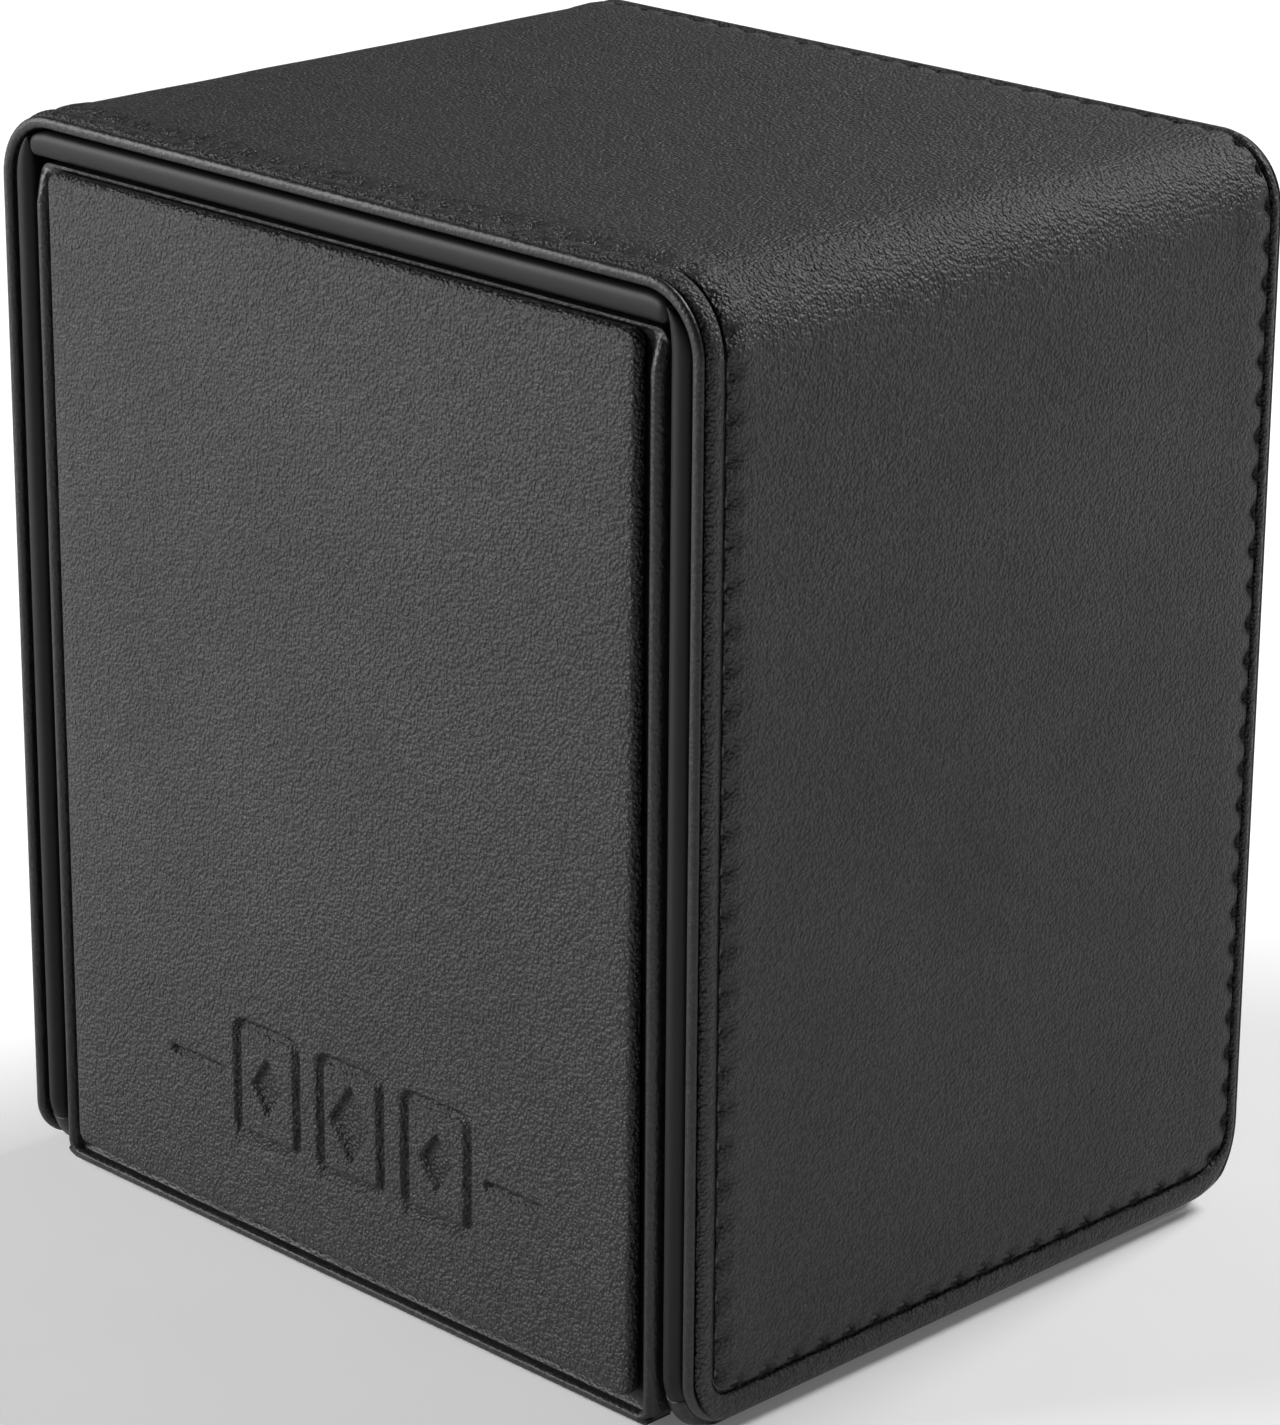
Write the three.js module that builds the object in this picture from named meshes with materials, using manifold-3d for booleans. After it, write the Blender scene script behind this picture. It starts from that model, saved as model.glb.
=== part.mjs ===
// Side-loading card deck box: a stitched leatherette shell round a tray of covered boards,
// with a padded front flap that swings down on a leatherette hinge and closes on magnets.
// Millimetres. X runs along the stack of cards, Y from the flap to the back, Z up.
// The origin is the middle of the underside of the closed box.

import * as THREE from "three";
import { mergeVertices } from "three/addons/utils/BufferGeometryUtils.js";
import Module from "manifold-3d";

const wasm = await Module();
wasm.setup();

// ---- Driving dimensions -------------------------------------------------------------

// Space for the cards: a hundred double-sleeved cards, 66 wide and 91 tall, on their short edge.
const compartmentWidth = 78.8;
const compartmentDepth = 68.1;
const compartmentHeight = 94.8;

// Shell: two plies of leatherette with a thin stiffener between them.
const outerPly = 0.6;
const innerPly = 0.5;
const stiffenerThickness = 0.4;
const shellCornerRadius = 7;
const shellLift = 1.2;
const shellFrontCorner = 5;
const shellBackCorner = 7;
const seamMargin = 2.9;

// Tray: boards covered in smooth black microfibre.
const trayWall = 2.45;
const wrapThickness = 0.45;
const noseLength = 2;
const noseFlat = 0.05;
const trayFrontCorner = 5;
const linerThickness = 1.65;
const topLinerThickness = 1.45;
const liningThickness = 0.5;
const backLining = 0.4;

// Base and back: boards behind one continuous strip of leatherette.
const coverThickness = 0.9;
const baseBoardThickness = 1.9;
const backBoardThickness = 2.4;
const coverBackRadius = 7;

// Flap: a board with wrapped edges, a raised front panel and a lined inside face.
const panelThickness = 1.5;
const panelProud = 0.5;
const flapBoardThickness = 1.8;
const rimWidth = 1.5;
const topRimWidth = 0.45;
const grooveWidth = 0.9;
const bottomGrooveWidth = 0.6;
const topGrooveWidth = 0.25;
const edgePly = 0.9;
const panelCornerRadius = 1.2;
const flapCornerRadius = 1.6;
const hingePly = 0.5;
const hingeInset = 0.6;
const hingeStripSideInset = 0.2;
const flapLiningInset = 0.5;

// Magnets: bars set in slots die-cut through the boards.
const magnetHeight = 11.8;
const magnetDepth = 1.9;
const magnetBelowTop = 8;
const flapMagnetWidth = 2;

// Clearances.
const glueGap = 0.1;
const shellFit = 0.3;
const flapSideGap = 0.65;
const flapTopGap = 0.6;
const flapStopGap = 0.3;

const arcSteps = 10;

// ---- Planes worked out from them ----------------------------------------------------

const shellThickness = outerPly + stiffenerThickness + innerPly + 2 * glueGap;
const flapThickness = liningThickness + glueGap + flapBoardThickness + glueGap + panelThickness;
const backWall = backLining + glueGap + backBoardThickness + glueGap + coverThickness;
const depth = flapThickness + compartmentDepth + backWall;
const frontFace = -depth / 2;
const backFace = depth / 2;

// Across the box, from the middle out.
const linerInner = compartmentWidth / 2;
const trayInner = linerInner + linerThickness;
const trayOuter = trayInner + trayWall;
const noseRadius = (trayWall - noseFlat) / 2;
const shellInner = trayOuter + shellFit;
const shellOuter = shellInner + shellThickness;

// From the flap to the back.
const flushFront = frontFace + panelProud;
const flapBack = frontFace + flapThickness;
const linerFront = flapBack + flapStopGap;
const coverInnerBack = backFace - coverThickness;
const trayBack = coverInnerBack - glueGap;
const backBoardFront = trayBack - backBoardThickness;
const backLiningBack = backBoardFront - glueGap;
const backLiningFront = backLiningBack - backLining;
const shellBack = backFace - panelProud;

// From the underside up.
const trayBottom = coverThickness + glueGap;
const baseBoardTop = trayBottom + baseBoardThickness;
const liningBottom = baseBoardTop + glueGap;
const floorLevel = liningBottom + liningThickness;
const ceilingLevel = floorLevel + compartmentHeight;
const topWallBottom = ceilingLevel + topLinerThickness + glueGap;
const trayTop = topWallBottom + trayWall;
const shellInnerTop = trayTop + shellFit;
const shellTop = shellInnerTop + shellThickness;

// The shell and the tray round their upper corners about one centre.
const trayCornerRadius = shellCornerRadius - shellThickness - shellFit;
const cornerX = shellOuter - shellCornerRadius;
const cornerZ = shellTop - shellCornerRadius;

// Flap outline.
const flapHalfWidth = trayInner - flapSideGap;
const flapTop = topWallBottom - flapTopGap;
const flapBottom = trayBottom - glueGap;
const panelHalfWidth = flapHalfWidth - rimWidth - grooveWidth;
const panelTop = flapTop - topRimWidth - topGrooveWidth;
const panelBottom = rimWidth + bottomGrooveWidth;
const boardFront = frontFace + panelThickness + glueGap;
const boardBack = boardFront + flapBoardThickness;
const flapLiningFront = boardBack + glueGap;

// ---- Finishes -----------------------------------------------------------------------

const finish = (color, roughness, metalness = 0) =>
  new THREE.MeshStandardMaterial({ color, roughness, metalness });

const leatherette = finish(0x2b2b2d, 0.62);
const smoothWrap = finish(0x242322, 0.5);
const lining = finish(0x1c1c1e, 0.95);
const greyboard = finish(0x8a8478, 0.9);
const stiffenerSheet = finish(0x4a4a4c, 0.6);
const nickel = finish(0xb8bcc0, 0.3, 1);

// ---- Making solids ------------------------------------------------------------------

const group = new THREE.Group();
group.name = "card_deck_box";

function addPart(name, geometry, material) {
  const mesh = new THREE.Mesh(geometry, material);
  mesh.name = name;
  group.add(mesh);
}

/** A block between two corners. */
function slab(x0, x1, y0, y1, z0, z1) {
  const geometry = new THREE.BoxGeometry(x1 - x0, y1 - y0, z1 - z0);
  geometry.translate((x0 + x1) / 2, (y0 + y1) / 2, (z0 + z1) / 2);
  return geometry;
}

/** Extrude a shape so that its own x, y and depth run along the three given axes. */
function extrudeOn(shape, length, xAxis, yAxis, depthAxis) {
  const geometry = new THREE.ExtrudeGeometry(shape, {
    depth: length,
    bevelEnabled: false,
    curveSegments: arcSteps,
  });
  geometry.applyMatrix4(new THREE.Matrix4().makeBasis(xAxis, yAxis, depthAxis));
  return geometry;
}

const axisX = new THREE.Vector3(1, 0, 0);
const axisY = new THREE.Vector3(0, 1, 0);
const axisZ = new THREE.Vector3(0, 0, 1);
const minusY = new THREE.Vector3(0, -1, 0);

/** A shape drawn in X and Y, extruded up from z0 to z1. */
function extrudeUp(shape, z0, z1) {
  const geometry = extrudeOn(shape, z1 - z0, axisX, axisY, axisZ);
  geometry.translate(0, 0, z0);
  return geometry;
}

/** A shape drawn in X and Z, extruded from y0 back to y1. */
function extrudeBack(shape, y0, y1) {
  const geometry = extrudeOn(shape, y1 - y0, axisX, axisZ, minusY);
  geometry.translate(0, y1, 0);
  return geometry;
}

/** A shape drawn in Y and Z, extruded across from x0 to x1. */
function extrudeAcross(shape, x0, x1) {
  const geometry = extrudeOn(shape, x1 - x0, axisY, axisZ, axisX);
  geometry.translate(x0, 0, 0);
  return geometry;
}

/** A rectangle with a radius of its own at each corner. */
function roundedRectangle(left, bottom, right, top, radius) {
  const { bottomLeft = 0, bottomRight = 0, topRight = 0, topLeft = 0 } = radius;
  const shape = new THREE.Shape();
  const corner = (x, y, r, startAngle) => {
    if (r > 0) {
      shape.absarc(x, y, r, startAngle, startAngle + Math.PI / 2, false);
    } else {
      shape.lineTo(x, y);
    }
  };
  shape.moveTo(left + bottomLeft, bottom);
  corner(right - bottomRight, bottom + bottomRight, bottomRight, -Math.PI / 2);
  corner(right - topRight, top - topRight, topRight, 0);
  corner(left + topLeft, top - topLeft, topLeft, Math.PI / 2);
  corner(left + bottomLeft, bottom + bottomLeft, bottomLeft, Math.PI);
  return shape;
}

const allCorners = (r) => ({ bottomLeft: r, bottomRight: r, topRight: r, topLeft: r });

/** Turn a closed geometry into a solid that can be joined and cut. */
function toSolid(geometry) {
  const bare = geometry.clone();
  bare.deleteAttribute("normal");
  bare.deleteAttribute("uv");
  const merged = mergeVertices(bare, 1e-5);
  return new wasm.Manifold(new wasm.Mesh({
    numProp: 3,
    vertProperties: new Float32Array(merged.attributes.position.array),
    triVerts: new Uint32Array(merged.index.array),
  }));
}

function toGeometry(solid) {
  const mesh = solid.getMesh();
  const geometry = new THREE.BufferGeometry();
  geometry.setAttribute("position", new THREE.BufferAttribute(mesh.vertProperties, 3));
  geometry.setIndex(new THREE.BufferAttribute(mesh.triVerts, 1));
  geometry.computeVertexNormals();
  return geometry;
}

/** Keep only what lies inside the second geometry. */
const trim = (geometry, keep) => toGeometry(toSolid(geometry).intersect(toSolid(keep)));

/** Cut every tool out of a geometry. */
function cut(geometry, ...tools) {
  let solid = toSolid(geometry);
  for (const tool of tools) {
    solid = solid.subtract(toSolid(tool));
  }
  return toGeometry(solid);
}

// ---- Shell --------------------------------------------------------------------------

/** One ply of the shell: an arch of constant thickness, open below. */
function archPly(outerX, outerTop, outerRadius, thickness) {
  const innerX = outerX - thickness;
  const innerTop = outerTop - thickness;
  const innerRadius = outerRadius - thickness;
  const shape = new THREE.Shape();
  shape.moveTo(outerX, shellLift);
  shape.lineTo(outerX, outerTop - outerRadius);
  shape.absarc(outerX - outerRadius, outerTop - outerRadius, outerRadius, 0, Math.PI / 2, false);
  shape.absarc(outerRadius - outerX, outerTop - outerRadius, outerRadius, Math.PI / 2, Math.PI, false);
  shape.lineTo(-outerX, shellLift);
  shape.lineTo(-innerX, shellLift);
  shape.absarc(innerRadius - innerX, innerTop - innerRadius, innerRadius, Math.PI, Math.PI / 2, true);
  shape.absarc(innerX - innerRadius, innerTop - innerRadius, innerRadius, Math.PI / 2, 0, true);
  shape.lineTo(innerX, shellLift);
  return extrudeBack(shape, flushFront, shellBack);
}

/** Side view of the shell, with its two free lower corners rounded. */
function shellSideView() {
  const view = roundedRectangle(flushFront, shellLift, shellBack, shellTop + shellLift, {
    bottomLeft: shellFrontCorner,
    bottomRight: shellBackCorner,
  });
  return extrudeAcross(view, -shellOuter - shellLift, shellOuter + shellLift);
}

function makeShell() {
  const sideView = shellSideView();
  const outer = archPly(shellOuter, shellTop, shellCornerRadius, outerPly);
  addPart("shell_outer_cover", trim(outer, sideView), leatherette);

  const innerStep = shellThickness - innerPly;
  const inner = archPly(
    shellOuter - innerStep, shellTop - innerStep, shellCornerRadius - innerStep, innerPly);
  addPart("shell_inner_cover", trim(inner, sideView), leatherette);

  // The stiffeners stop short of the seams and of the bends at the upper corners.
  const low = shellInner + innerPly + glueGap;
  const high = low + stiffenerThickness;
  const front = flushFront + seamMargin;
  const back = shellBack - seamMargin;
  const sheet = roundedRectangle(front, shellLift + seamMargin, back, cornerZ, {
    bottomLeft: shellFrontCorner - seamMargin,
    bottomRight: shellBackCorner - seamMargin,
  });
  addPart("shell_right_stiffener", extrudeAcross(sheet, low, high), stiffenerSheet);
  addPart("shell_left_stiffener", extrudeAcross(sheet, -high, -low), stiffenerSheet);
  const topLow = shellInnerTop + innerPly + glueGap;
  const topSheet = slab(-cornerX, cornerX, front, back, topLow, topLow + stiffenerThickness);
  addPart("shell_top_stiffener", topSheet, stiffenerSheet);
}

// ---- Tray ---------------------------------------------------------------------------

/** Outline that the tray's walls share where they round to follow the shell, seen from the front. */
function trayFrontView() {
  const view = roundedRectangle(-trayOuter, trayBottom, trayOuter, trayTop, {
    topLeft: trayCornerRadius,
    topRight: trayCornerRadius,
  });
  return extrudeBack(view, flushFront - noseLength, trayBack + noseLength);
}

/** The same from the side, with the lower corners rounded. */
function traySideView() {
  const view = roundedRectangle(flushFront, trayBottom, trayBack, trayTop + noseLength, {
    bottomLeft: trayFrontCorner,
    bottomRight: coverBackRadius - coverThickness - glueGap,
  });
  return extrudeAcross(view, -shellInner, shellInner);
}

// A catch magnet sits at the front of each side board, level with the one in the flap.
const magnetTop = flapTop - magnetBelowTop;
const magnetBottom = magnetTop - magnetHeight;
const slotBottom = magnetBottom - glueGap;
const slotTop = magnetTop + glueGap;
const sideBoardFront = flushFront + noseLength + glueGap;
const catchBack = sideBoardFront + magnetDepth;

/** A covered side wall: wrap, board and catch magnet. The side is 1 for right, -1 for left. */
function makeTraySide(side) {
  const name = side > 0 ? "right" : "left";
  const across = (low, high) => (side > 0 ? [low, high] : [-high, -low]);
  const wallTop = topWallBottom - glueGap;
  const boardTop = cornerZ - glueGap;
  const boardBottom = baseBoardTop + glueGap;

  const [wallLow, wallHigh] = across(trayInner, trayOuter);
  const plan = roundedRectangle(wallLow, flushFront, wallHigh, trayBack, {
    bottomLeft: noseRadius,
    bottomRight: noseRadius,
  });
  const wall = trim(trim(extrudeUp(plan, trayBottom, wallTop), trayFrontView()), traySideView());
  const [pocketLow, pocketHigh] = across(trayInner + wrapThickness, trayOuter - wrapThickness);
  const pocket = slab(
    pocketLow, pocketHigh, sideBoardFront - glueGap, trayBack + noseLength,
    boardBottom - glueGap, boardTop + glueGap);
  addPart(`tray_${name}_wrap`, cut(wall, pocket), smoothWrap);

  const [boardLow, boardHigh] = [pocketLow + glueGap, pocketHigh - glueGap];
  const boardBack = trayBack - coverBackRadius;
  const board = new THREE.Shape();
  board.moveTo(boardBack, boardBottom);
  board.lineTo(boardBack, boardTop);
  board.lineTo(sideBoardFront, boardTop);
  board.lineTo(sideBoardFront, slotTop);
  board.lineTo(catchBack + glueGap, slotTop);
  board.lineTo(catchBack + glueGap, slotBottom);
  board.lineTo(sideBoardFront, slotBottom);
  board.lineTo(sideBoardFront, boardBottom);
  addPart(`tray_${name}_board`, extrudeAcross(board, boardLow, boardHigh), greyboard);

  const magnet = slab(boardLow, boardHigh, sideBoardFront, catchBack, magnetBottom, magnetTop);
  addPart(`tray_${name}_magnet`, magnet, nickel);
}

function makeTrayTop() {
  const section = roundedRectangle(flushFront, topWallBottom, trayBack, trayTop, {
    bottomLeft: noseRadius,
    topLeft: noseRadius,
  });
  const wall = trim(extrudeAcross(section, -trayOuter, trayOuter), trayFrontView());
  const low = topWallBottom + wrapThickness;
  const high = trayTop - wrapThickness;
  const front = flushFront + noseLength;
  const pocket = slab(-cornerX, cornerX, front, trayBack + noseLength, low, high);
  addPart("tray_top_wrap", cut(wall, pocket), smoothWrap);
  const board = slab(
    glueGap - cornerX, cornerX - glueGap, front + glueGap, trayBack, low + glueGap, high - glueGap);
  addPart("tray_top_board", board, greyboard);
}

/** The panels inside the tray. Their front edges are the stop that the closed flap rests on. */
function makeLiners() {
  const linerTop = topWallBottom - glueGap;
  const sideInner = linerInner;
  const sideOuter = trayInner - glueGap;
  const right = slab(sideInner, sideOuter, linerFront, backLiningBack, liningBottom, linerTop);
  addPart("liner_right", right, lining);
  const left = slab(-sideOuter, -sideInner, linerFront, backLiningBack, liningBottom, linerTop);
  addPart("liner_left", left, lining);
  const reach = linerInner - glueGap;
  addPart("liner_top", slab(-reach, reach, linerFront, backLiningBack, ceilingLevel, linerTop), lining);
  const floor = slab(-reach, reach, linerFront, backLiningFront - glueGap, liningBottom, floorLevel);
  addPart("liner_floor", floor, lining);
  const back = slab(-reach, reach, backLiningFront, backLiningBack, liningBottom, ceilingLevel - glueGap);
  addPart("liner_back", back, lining);
}

// ---- Base and back ------------------------------------------------------------------

function makeBaseAndBack() {
  const boardReach = trayInner - glueGap;
  const bendStart = backFace - coverBackRadius;
  const base = slab(-boardReach, boardReach, linerFront, bendStart, trayBottom, baseBoardTop);
  addPart("base_board", base, greyboard);
  const backBoardTop = topWallBottom - glueGap;
  const back = slab(-boardReach, boardReach, backBoardFront, trayBack, coverBackRadius, backBoardTop);
  addPart("back_board", back, greyboard);

  // One strip of leatherette runs back under the base, round the bend and up the back.
  const bend = coverBackRadius;
  const innerBend = coverBackRadius - coverThickness;
  const strip = new THREE.Shape();
  strip.moveTo(linerFront, 0);
  strip.lineTo(bendStart, 0);
  strip.absarc(bendStart, bend, bend, -Math.PI / 2, 0, false);
  strip.lineTo(backFace, trayTop);
  strip.lineTo(coverInnerBack, trayTop);
  strip.absarc(bendStart, bend, innerBend, 0, -Math.PI / 2, true);
  strip.lineTo(linerFront, coverThickness);
  const outline = roundedRectangle(-trayOuter, -coverThickness, trayOuter, trayTop, {
    topLeft: trayCornerRadius,
    topRight: trayCornerRadius,
  });
  const cover = extrudeAcross(strip, -trayOuter, trayOuter);
  const frontView = extrudeBack(outline, frontFace, backFace + coverThickness);
  addPart("base_and_back_cover", trim(cover, frontView), leatherette);
}

// ---- Flap and hinge -----------------------------------------------------------------

function makeHingeStrip() {
  const reach = flapHalfWidth - hingeStripSideInset;
  const front = frontFace + hingeInset + glueGap;
  addPart("hinge_strip", slab(-reach, reach, front, linerFront - glueGap, 0, hingePly), leatherette);
}

function makeFlap() {
  // Wrapped edge: a leatherette frame round the board, turned over the board's front margin.
  const boardReach = flapHalfWidth - edgePly;
  const boardBottom = flapBottom + edgePly;
  const boardTop = flapTop - edgePly;
  const outline = roundedRectangle(
    -flapHalfWidth, flapBottom, flapHalfWidth, flapTop, allCorners(flapCornerRadius));
  const blank = extrudeBack(outline, flushFront, boardBack);
  const seat = slab(
    -boardReach, boardReach, boardFront - glueGap, flapBack + glueGap, boardBottom, boardTop);
  const windowReach = flapHalfWidth - rimWidth;
  const window = slab(
    -windowReach, windowReach, frontFace, flapBack + glueGap,
    rimWidth, flapTop - topRimWidth);
  addPart("flap_edge_wrap", cut(blank, seat, window), leatherette);

  const panelOutline = roundedRectangle(
    -panelHalfWidth, panelBottom, panelHalfWidth, panelTop, allCorners(panelCornerRadius));
  addPart("flap_front_panel", extrudeBack(panelOutline, frontFace, boardFront - glueGap), leatherette);

  // Board with a slot at each side for its magnet.
  const edge = boardReach - glueGap;
  const low = boardBottom + glueGap;
  const high = boardTop - glueGap;
  const slotDepth = flapMagnetWidth + glueGap;
  const board = new THREE.Shape();
  board.moveTo(-edge, low);
  board.lineTo(edge, low);
  board.lineTo(edge, slotBottom);
  board.lineTo(edge - slotDepth, slotBottom);
  board.lineTo(edge - slotDepth, slotTop);
  board.lineTo(edge, slotTop);
  board.lineTo(edge, high);
  board.lineTo(-edge, high);
  board.lineTo(-edge, slotTop);
  board.lineTo(slotDepth - edge, slotTop);
  board.lineTo(slotDepth - edge, slotBottom);
  board.lineTo(-edge, slotBottom);
  addPart("flap_board", extrudeBack(board, boardFront, boardBack), greyboard);

  const inner = edge - flapMagnetWidth;
  addPart("flap_right_magnet", slab(inner, edge, boardFront, boardBack, magnetBottom, magnetTop), nickel);
  addPart("flap_left_magnet", slab(-edge, -inner, boardFront, boardBack, magnetBottom, magnetTop), nickel);

  const reach = flapHalfWidth - flapLiningInset;
  const liningLow = flapBottom + flapLiningInset;
  const liningHigh = flapTop - flapLiningInset;
  addPart("flap_lining", slab(-reach, reach, flapLiningFront, flapBack, liningLow, liningHigh), lining);
}

makeShell();
for (const side of [-1, 1]) {
  makeTraySide(side);
}
makeTrayTop();
makeLiners();
makeBaseAndBack();
makeHingeStrip();
makeFlap();

export default group;
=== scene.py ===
# %% [markdown]
# # A stitched leatherette card deck box
#
# The object is a box for sleeved trading cards. A leatherette shell is sewn over the left side,
# the top and the right side of a covered tray, and a padded flap closes the front.
# The CAD model gives every place and size. This script makes what the eye sees: seams, thread,
# rolled edges, padding and grain. Each piece is laid out flat first, as a leather worker would
# cut it, and is then bent into place.

# %% Load the frame
import math

import bmesh
import bpy
import numpy as np
from mathutils import Matrix, Vector


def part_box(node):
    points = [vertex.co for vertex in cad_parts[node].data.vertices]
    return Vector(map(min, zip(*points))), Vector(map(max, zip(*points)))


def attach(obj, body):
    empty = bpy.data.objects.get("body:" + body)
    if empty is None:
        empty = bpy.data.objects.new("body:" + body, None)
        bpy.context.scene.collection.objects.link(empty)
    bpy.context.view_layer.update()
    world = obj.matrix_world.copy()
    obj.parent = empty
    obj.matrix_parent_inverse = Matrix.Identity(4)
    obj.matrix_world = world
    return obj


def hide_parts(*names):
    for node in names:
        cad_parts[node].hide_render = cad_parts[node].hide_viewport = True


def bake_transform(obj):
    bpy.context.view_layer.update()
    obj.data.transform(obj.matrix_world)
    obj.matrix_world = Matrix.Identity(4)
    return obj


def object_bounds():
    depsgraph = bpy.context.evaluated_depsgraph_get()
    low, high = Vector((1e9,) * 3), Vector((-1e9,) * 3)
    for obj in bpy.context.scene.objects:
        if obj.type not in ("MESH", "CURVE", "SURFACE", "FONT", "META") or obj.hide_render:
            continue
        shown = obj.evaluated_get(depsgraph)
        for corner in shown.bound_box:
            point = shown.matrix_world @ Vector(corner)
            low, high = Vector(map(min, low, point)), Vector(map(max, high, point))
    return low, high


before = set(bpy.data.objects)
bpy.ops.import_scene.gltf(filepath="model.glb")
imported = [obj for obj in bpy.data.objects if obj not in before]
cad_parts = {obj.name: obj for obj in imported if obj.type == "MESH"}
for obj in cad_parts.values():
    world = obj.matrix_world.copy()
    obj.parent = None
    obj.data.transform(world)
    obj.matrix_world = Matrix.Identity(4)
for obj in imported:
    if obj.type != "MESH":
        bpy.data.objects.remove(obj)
cad_low, cad_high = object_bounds()
print("CAD box, mm:", [round(1000 * (b - a), 1) for a, b in zip(cad_low, cad_high)])

# %% [markdown]
# ## Sizes
#
# Lengths are written in millimetres, because seams and plies are thought of that way, and turned
# to metres only when a mesh is made. `span` reads where a CAD node starts and ends, so that each
# visible piece starts from the CAD piece that it stands for.

# %% Sizes from the frame
MM = 0.001


def span(node):
    """Lowest and highest corner of a CAD node, in millimetres."""
    low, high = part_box(node)
    return np.array(low) / MM, np.array(high) / MM


shell_low, shell_high = span("shell_outer_cover")
panel_low, panel_high = span("flap_front_panel")
wrap_low, wrap_high = span("flap_edge_wrap")
wall_low, wall_high = span("tray_right_wrap")
lid_low, lid_high = span("tray_top_wrap")
print("shell, mm:", shell_low.round(2), shell_high.round(2))

# %% [markdown]
# ## Turning points into meshes
#
# Every piece is made from a numpy array of points and a list of faces. One function builds the
# mesh, smooths its shading, gives it its material and ties it to its CAD body.

# %% Mesh builder


def build_piece(name, points, faces, material, body=None, replaces=()):
    """Make a smooth-shaded piece from points in millimetres, and fix it to a body."""
    mesh = bpy.data.meshes.new(name)
    mesh.from_pydata((np.asarray(points) * MM).tolist(), [], faces)
    mesh.validate()
    work = bmesh.new()
    work.from_mesh(mesh)
    bmesh.ops.recalc_face_normals(work, faces=work.faces)
    work.to_mesh(mesh)
    work.free()
    mesh.shade_smooth()
    mesh.materials.append(material)
    piece = bpy.data.objects.new(name, mesh)
    bpy.context.scene.collection.objects.link(piece)
    if replaces:
        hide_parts(*replaces)
    if body:
        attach(piece, body)
    print(f"{name}: {len(mesh.vertices)} points, {len(mesh.polygons)} faces")
    return piece

# %% [markdown]
# ## Flat sheets with a shaped edge
#
# Leatherette is cut as a flat rectangle with rounded corners. Its edge is where the detail is: the
# rolled lip, the seam groove and the start of the padding. So the sheet is made of rings that
# follow the edge inwards, each at its own inset and height, and of a plain grid in the middle.
# The list of (inset, height) pairs is the section through the edge, from the underside, round the
# lip, and up onto the face.

# %% Rings of a rounded rectangle


def even(count):
    """Shares of a side, from 0 to 1, at equal steps."""
    return np.linspace(0, 1, count + 1)


class SheetPattern:
    """A flat rectangle with rounded corners, cut into rings that follow its edge and a middle grid."""

    def __init__(self, size, radii, across, along, corner_steps=6, finer=3):
        self.size = size
        self.radii = radii
        self.shares = [across, along, 1 - across[::-1], 1 - along[::-1]]
        self.corner_steps = corner_steps
        self.finer = finer

    def corner_centres(self, inset):
        """Where the four corner arcs of a ring are centred, and their radii."""
        width, height = self.size
        radii = [max(r - inset, 0.4) for r in self.radii]
        reach = [inset + r for r in radii]
        centres = [
            (reach[0], reach[0]),
            (width - reach[1], reach[1]),
            (width - reach[2], height - reach[2]),
            (reach[3], height - reach[3]),
        ]
        return np.array(centres), radii

    def ring(self, inset):
        """Points of the ring at an inset, from the first corner along the first side."""
        centres, radii = self.corner_centres(inset)
        points = []
        for side in range(4):
            heading = (side - 1) * math.pi / 2
            here, following = centres[side], centres[(side + 1) % 4]
            outward = np.array([math.cos(heading), math.sin(heading)])
            start = here + outward * radii[side]
            stop = following + outward * radii[(side + 1) % 4]
            share = self.shares[side]
            count = (len(share) - 1) * self.finer
            fine = np.interp(np.arange(count) / self.finer, np.arange(len(share)), share)
            points.append(start + (stop - start) * fine[:, None])
            turn_count = self.corner_steps * self.finer
            turn = heading + np.arange(turn_count) / turn_count * math.pi / 2
            arc = np.stack([np.cos(turn), np.sin(turn)], axis=1)
            points.append(following + radii[(side + 1) % 4] * arc)
        return np.concatenate(points)

    def middle(self, inset):
        """Grid of points that fills the sheet inside the last ring."""
        centres, _ = self.corner_centres(inset)
        u = self.shares[0][:, None, None]
        v = self.shares[1][None, :, None]
        near = centres[0] + (centres[1] - centres[0]) * u
        far = centres[3] + (centres[2] - centres[3]) * u
        return (near + (far - near) * v).reshape(-1, 2)

    def middle_faces(self, first, ring_first, ring_count):
        """Faces of the middle grid, and those that join it to a ring, with a fan at each corner."""
        columns, rows = len(self.shares[0]), len(self.shares[1])
        index = first + np.arange(columns * rows).reshape(columns, rows)
        quads = np.stack([index[:-1, :-1], index[1:, :-1], index[1:, 1:], index[:-1, 1:]], axis=2)
        faces = quads.reshape(-1, 4).tolist()
        at = 0
        for border in (index[:, 0], index[-1, :], index[::-1, -1], index[0, ::-1]):
            for here, following in zip(border[:-1], border[1:]):
                edge = [ring_first + (at + k) % ring_count for k in range(self.finer, -1, -1)]
                faces.append([int(here), int(following)] + edge)
                at += self.finer
            for _ in range(self.corner_steps * self.finer):
                pair = [ring_first + (at + 1) % ring_count, ring_first + at % ring_count]
                faces.append([int(border[-1])] + pair)
                at += 1
        return faces


# %% Sheet with a section at its edge


def no_relief(flat, inset):
    """Relief of a sheet whose face is plain."""
    return np.zeros(len(flat))


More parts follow.
